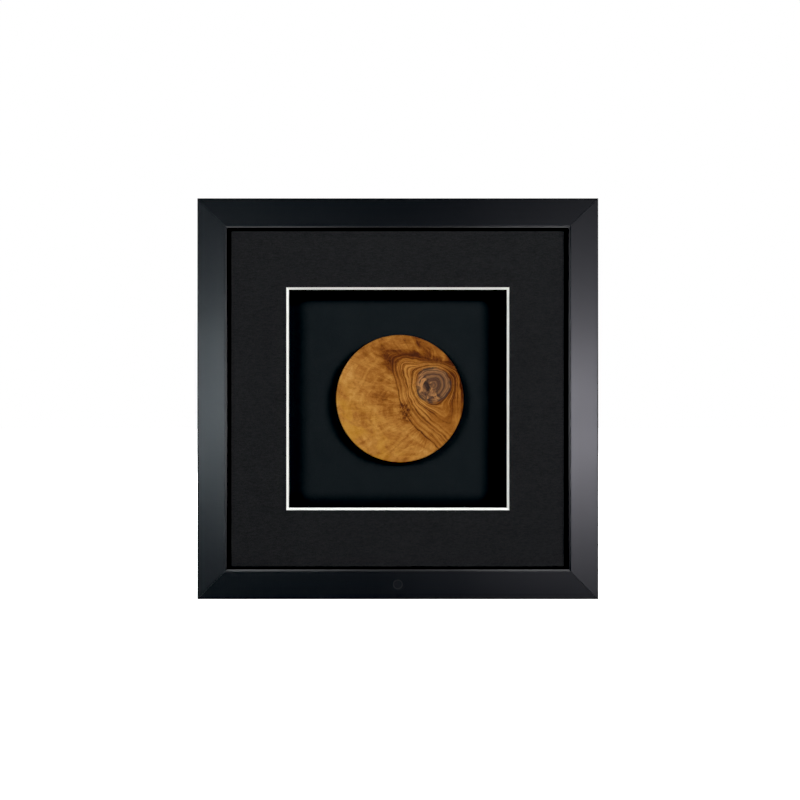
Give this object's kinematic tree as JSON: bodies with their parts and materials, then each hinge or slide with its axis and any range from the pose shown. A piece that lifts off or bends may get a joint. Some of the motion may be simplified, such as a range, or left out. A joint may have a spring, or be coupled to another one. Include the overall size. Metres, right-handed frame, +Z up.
{
  "type": "coin display frame",
  "caption": "Square black box frame with a glazed front, a bevelled window mat and a round wooden medallion on a dark board, with a turn-button back and a hanging ring.",
  "frame": {"origin": "middle of the bounding box's underside: on the surface that the bottom rail stands on, half-way across the frame and half-way between the rails' front edge and the wall bumpers' ends", "axes": "+X to the right for someone in front of the frame, +Y from the front to the back (towards the wall), +Z up"},
  "size_m": [0.25, 0.045, 0.25],
  "materials": {
    "black_rail": "satin black lacquer",
    "steel": "zinc plated",
    "glazing": "clear, low glare",
    "mat_face": "matte black, finely speckled",
    "mat_core": "matte off-white",
    "spacer": "matte black",
    "display_board": "matte black",
    "olive_wood": "oiled, satin",
    "adhesive": "foam",
    "filler_board": "matte grey-brown",
    "back_panel": "smooth brown fibreboard",
    "brass_plate": "brass plated",
    "bumper": "matte black"
  },
  "bodies": {
    "case": {"rail_top": "black_rail", "rail_bottom": "black_rail", "rail_left": "black_rail", "rail_right": "black_rail", "corner_nails": "steel", "glazing_pane": "glazing", "mat_face_paper": "mat_face", "mat_core": "mat_core", "spacer_top": "spacer", "spacer_bottom": "spacer", "spacer_left": "spacer", "spacer_right": "spacer", "display_board": "display_board", "wood_medallion": "olive_wood", "adhesive_squares": "adhesive", "filler_board": "filler_board", "back_panel": "back_panel", "turn_button_screws": "steel", "hanger_plate": "brass_plate", "hanger_rivet": "brass_plate", "wall_bumpers": "bumper"},
    "turn_button_top_left": {"turn_button_top_left": "steel"},
    "turn_button_top_right": {"turn_button_top_right": "steel"},
    "turn_button_bottom_left": {"turn_button_bottom_left": "steel"},
    "turn_button_bottom_right": {"turn_button_bottom_right": "steel"},
    "turn_button_left_upper": {"turn_button_left_upper": "steel"},
    "turn_button_left_lower": {"turn_button_left_lower": "steel"},
    "turn_button_right_upper": {"turn_button_right_upper": "steel"},
    "turn_button_right_lower": {"turn_button_right_lower": "steel"},
    "hanger_ring": {"hanger_ring": "steel"}
  },
  "joints": [
    {"name": "turn_top_left", "type": "hinge", "parent": "case", "child": "turn_button_top_left", "pos_m": [-0.06, 0.0191, 0.245], "axis": [0, 1, 0], "range_deg": [-90, 90]},
    {"name": "turn_top_right", "type": "hinge", "parent": "case", "child": "turn_button_top_right", "pos_m": [0.06, 0.0191, 0.245], "axis": [0, 1, 0], "range_deg": [-90, 90]},
    {"name": "turn_bottom_left", "type": "hinge", "parent": "case", "child": "turn_button_bottom_left", "pos_m": [-0.06, 0.0191, 0.005], "axis": [0, 1, 0], "range_deg": [-90, 90]},
    {"name": "turn_bottom_right", "type": "hinge", "parent": "case", "child": "turn_button_bottom_right", "pos_m": [0.06, 0.0191, 0.005], "axis": [0, 1, 0], "range_deg": [-90, 90]},
    {"name": "turn_left_upper", "type": "hinge", "parent": "case", "child": "turn_button_left_upper", "pos_m": [-0.12, 0.0191, 0.185], "axis": [0, 1, 0], "range_deg": [-90, 90]},
    {"name": "turn_left_lower", "type": "hinge", "parent": "case", "child": "turn_button_left_lower", "pos_m": [-0.12, 0.0191, 0.065], "axis": [0, 1, 0], "range_deg": [-90, 90]},
    {"name": "turn_right_upper", "type": "hinge", "parent": "case", "child": "turn_button_right_upper", "pos_m": [0.12, 0.0191, 0.185], "axis": [0, 1, 0], "range_deg": [-90, 90]},
    {"name": "turn_right_lower", "type": "hinge", "parent": "case", "child": "turn_button_right_lower", "pos_m": [0.12, 0.0191, 0.065], "axis": [0, 1, 0], "range_deg": [-90, 90]},
    {"name": "ring_swing", "type": "hinge", "parent": "case", "child": "hanger_ring", "pos_m": [0, 0.0203, 0.219], "axis": [1, 0, 0], "range_deg": [0, 180]}
  ]
}
